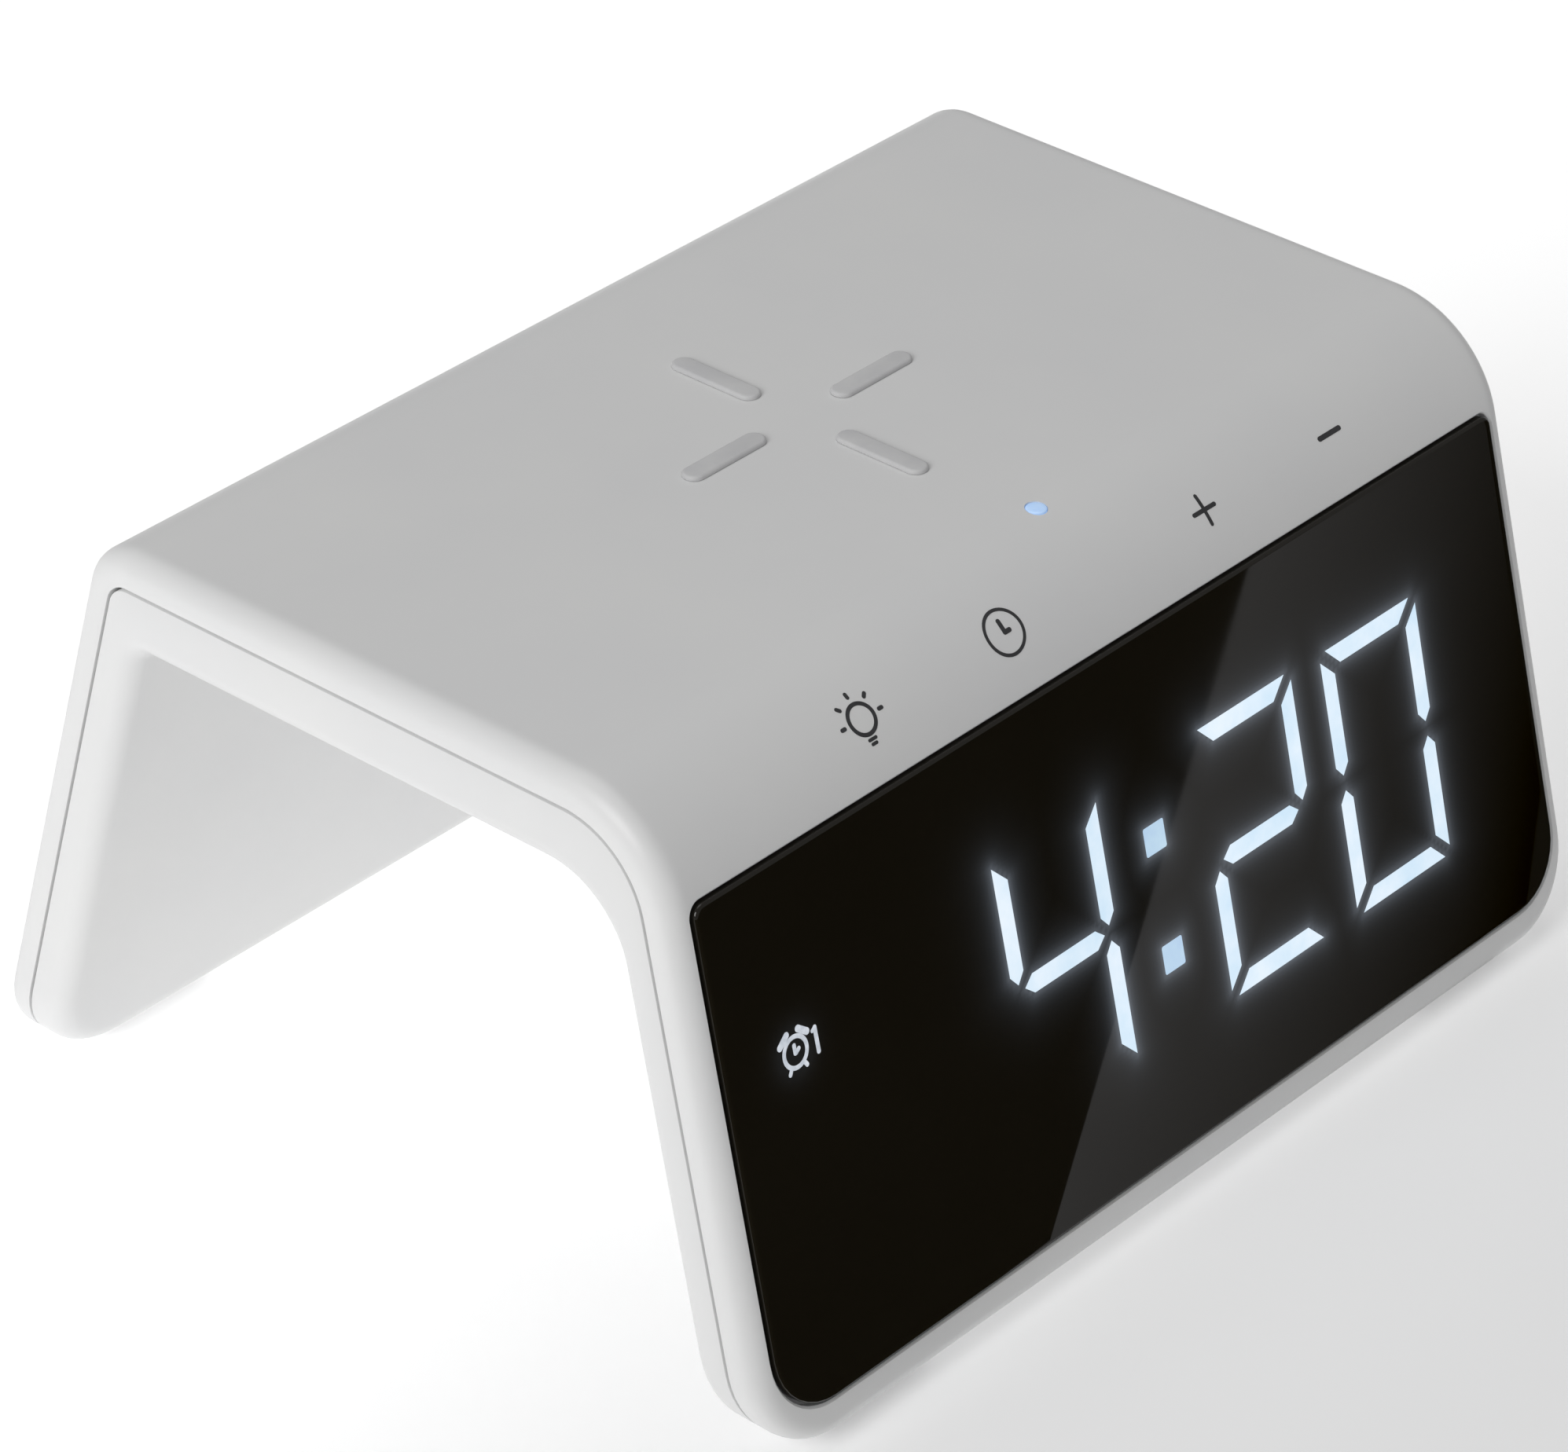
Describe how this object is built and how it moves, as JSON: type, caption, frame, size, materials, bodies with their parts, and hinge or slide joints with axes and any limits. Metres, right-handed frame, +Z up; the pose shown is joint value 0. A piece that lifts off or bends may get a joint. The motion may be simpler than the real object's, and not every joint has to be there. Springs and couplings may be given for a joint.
{
  "type": "clock radio",
  "caption": "White bridge-shaped bedside clock radio with a black LED display on its front leg, a wireless charging shelf on top and a splayed back leg.",
  "frame": {"origin": "centre of the bounding box at its lowest face, which is the plane the feet stand on", "axes": "+X along the display to its right end as a user sees it, -Y out of the front leg with the display, +Z up"},
  "size_m": [0.12, 0.0999, 0.0649],
  "materials": {
    "casing_white": "satin white moulded plastic",
    "door_white": "satin white moulded plastic",
    "display_glass": "polished black tinted window, lit white digits behind it",
    "diffuser": "smoked matt diffuser sheet",
    "module_white": "matt pale moulded plastic",
    "circuit_board": "green solder mask over glass fibre",
    "flex_film": "amber flexible film",
    "tinned_metal": "tinned sheet, satin",
    "copper": "bare and enamelled copper",
    "ferrite": "dark grey sintered ferrite",
    "steel": "bright zinc plated steel",
    "cell_steel": "bright nickel plated can",
    "black_plastic": "black moulded plastic",
    "foot_rubber": "soft grey rubber",
    "grip_silicone": "soft pale silicone",
    "speaker_paper": "black doped paper cone",
    "gasket_foam": "black foam",
    "wire_red": "red insulation",
    "wire_black": "black insulation",
    "lens_clear": "clear moulded light pipe, lit blue"
  },
  "bodies": {
    "casing": {"outer_shell": "casing_white", "inner_shell": "casing_white", "display_glass": "display_glass", "display_diffuser": "diffuser", "led_reflector": "module_white", "display_board": "circuit_board", "display_ribbon": "flex_film", "main_board": "circuit_board", "tuner_can": "tinned_metal", "aerial_strip": "copper", "charger_board": "circuit_board", "coil_tray": "module_white", "ferrite_disc": "ferrite", "charging_coil": "copper", "coil_sensor": "black_plastic", "power_inlet": "tinned_metal", "inlet_tongue": "black_plastic", "battery_holder": "black_plastic", "coin_cell": "cell_steel", "contact_positive": "tinned_metal", "contact_negative": "tinned_metal", "speaker_gasket": "gasket_foam", "speaker_cone": "speaker_paper", "speaker_basket": "steel", "speaker_magnet": "ferrite", "speaker_lead_red": "wire_red", "speaker_lead_black": "wire_black", "touch_flex": "flex_film", "touch_pad_light": "copper", "touch_pad_clock": "copper", "touch_pad_plus": "copper", "touch_pad_minus": "copper", "indicator_lens": "lens_clear", "indicator_lamp": "module_white", "grip_strip_front": "grip_silicone", "grip_strip_back": "grip_silicone", "grip_strip_left": "grip_silicone", "grip_strip_right": "grip_silicone", "foot_front_left": "foot_rubber", "foot_front_right": "foot_rubber", "foot_back_left": "foot_rubber", "foot_back_right": "foot_rubber", "case_screw_front_left": "steel", "case_screw_front_right": "steel", "case_screw_back_left": "steel", "case_screw_back_right": "steel", "board_screw_1": "steel", "board_screw_2": "steel"},
    "door": {"battery_door": "door_white"}
  },
  "joints": [
    {"name": "battery_door_slide", "type": "slide", "parent": "casing", "child": "door", "axis": [1, 0, 0], "range_m": [0, 0.033]}
  ]
}
